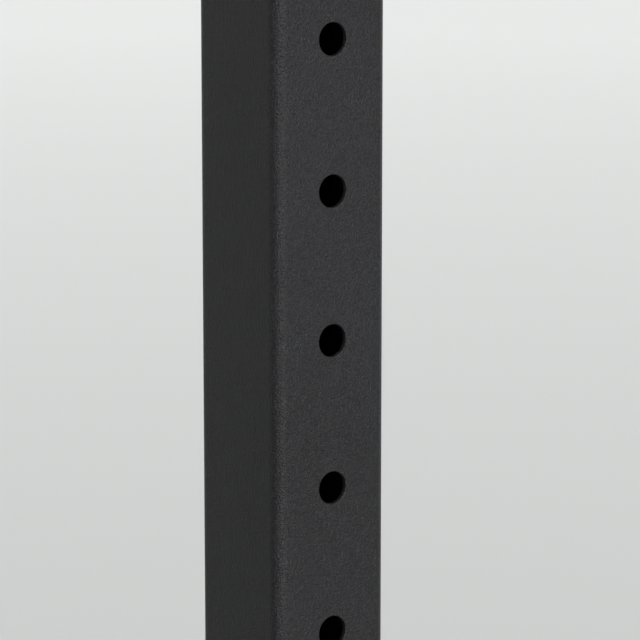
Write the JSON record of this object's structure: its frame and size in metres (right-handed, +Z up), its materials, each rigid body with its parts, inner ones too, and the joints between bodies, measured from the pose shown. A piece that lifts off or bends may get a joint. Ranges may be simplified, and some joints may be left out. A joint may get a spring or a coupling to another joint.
{
  "type": "power cage",
  "caption": "Bolted weightlifting cage of square steel tube: drilled uprights, J-hooks, lift-out safety bars, pull-up bar and plate storage pegs.",
  "frame": {"origin": "on the floor, at the middle of the base footprint between the four uprights", "axes": "+Z up, +X to the right of a user who stands in front of the cage and faces it, -Y to the open front of the cage"},
  "size_m": [1.69, 1.358, 2.155],
  "materials": {
    "powder_coat": "fine-texture matte black powder coat",
    "fastener_steel": "black zinc plate, satin",
    "peg_steel": "bright zinc plate, satin",
    "rubber": "matte black moulded rubber",
    "plug_plastic": "satin black moulded plastic",
    "liner_plastic": "smooth machined UHMW plastic"
  },
  "bodies": {
    "frame": {"base_gusset_plates": "powder_coat", "base_pads": "rubber", "base_rail_left": "powder_coat", "base_rail_right": "powder_coat", "corner_bolts": "fastener_steel", "corner_nuts": "fastener_steel", "corner_washers": "fastener_steel", "flange_bolts": "fastener_steel", "flange_nuts": "fastener_steel", "flange_washers": "fastener_steel", "foot_caps": "rubber", "pull_up_bar": "powder_coat", "pull_up_bar_plates": "powder_coat", "pull_up_grips": "rubber", "rear_base_crossmember": "powder_coat", "rear_base_crossmember_plates": "powder_coat", "rear_mid_crossmember": "powder_coat", "rear_mid_crossmember_plates": "powder_coat", "rear_top_crossmember": "powder_coat", "rear_top_crossmember_plates": "powder_coat", "safety_saddle_front_left": "powder_coat", "safety_saddle_front_right": "powder_coat", "safety_saddle_pegs": "peg_steel", "safety_saddle_rear_left": "powder_coat", "safety_saddle_rear_right": "powder_coat", "storage_peg_bumpers": "rubber", "storage_peg_end_caps": "plug_plastic", "storage_peg_flanges": "powder_coat", "storage_peg_left_lower": "powder_coat", "storage_peg_left_upper": "powder_coat", "storage_peg_right_lower": "powder_coat", "storage_peg_right_upper": "powder_coat", "top_gusset_plates": "powder_coat", "top_rail_end_caps": "plug_plastic", "top_rail_left": "powder_coat", "top_rail_right": "powder_coat", "upright_front_left": "powder_coat", "upright_front_right": "powder_coat", "upright_rear_left": "powder_coat", "upright_rear_right": "powder_coat"},
    "j_hook_left": {"j_hook_left_bracket": "powder_coat", "j_hook_left_liner": "liner_plastic", "j_hook_left_pegs": "peg_steel", "j_hook_left_screws": "fastener_steel"},
    "j_hook_right": {"j_hook_right_bracket": "powder_coat", "j_hook_right_liner": "liner_plastic", "j_hook_right_pegs": "peg_steel", "j_hook_right_screws": "fastener_steel"},
    "safety_bar_left": {"safety_bar_left": "powder_coat", "safety_bar_left_end_caps": "plug_plastic", "safety_bar_left_screws": "fastener_steel", "safety_bar_left_strip": "liner_plastic"},
    "safety_bar_right": {"safety_bar_right": "powder_coat", "safety_bar_right_end_caps": "plug_plastic", "safety_bar_right_screws": "fastener_steel", "safety_bar_right_strip": "liner_plastic"}
  },
  "joints": [
    {"name": "j_hook_left_slide", "type": "slide", "parent": "frame", "child": "j_hook_left", "axis": [0, -1, 0], "range_m": [0, 0.08]},
    {"name": "j_hook_right_slide", "type": "slide", "parent": "frame", "child": "j_hook_right", "axis": [0, -1, 0], "range_m": [0, 0.08]},
    {"name": "safety_bar_left_lift", "type": "slide", "parent": "frame", "child": "safety_bar_left", "axis": [0, 0, 1], "range_m": [0, 0.12]},
    {"name": "safety_bar_right_lift", "type": "slide", "parent": "frame", "child": "safety_bar_right", "axis": [0, 0, 1], "range_m": [0, 0.12]}
  ]
}
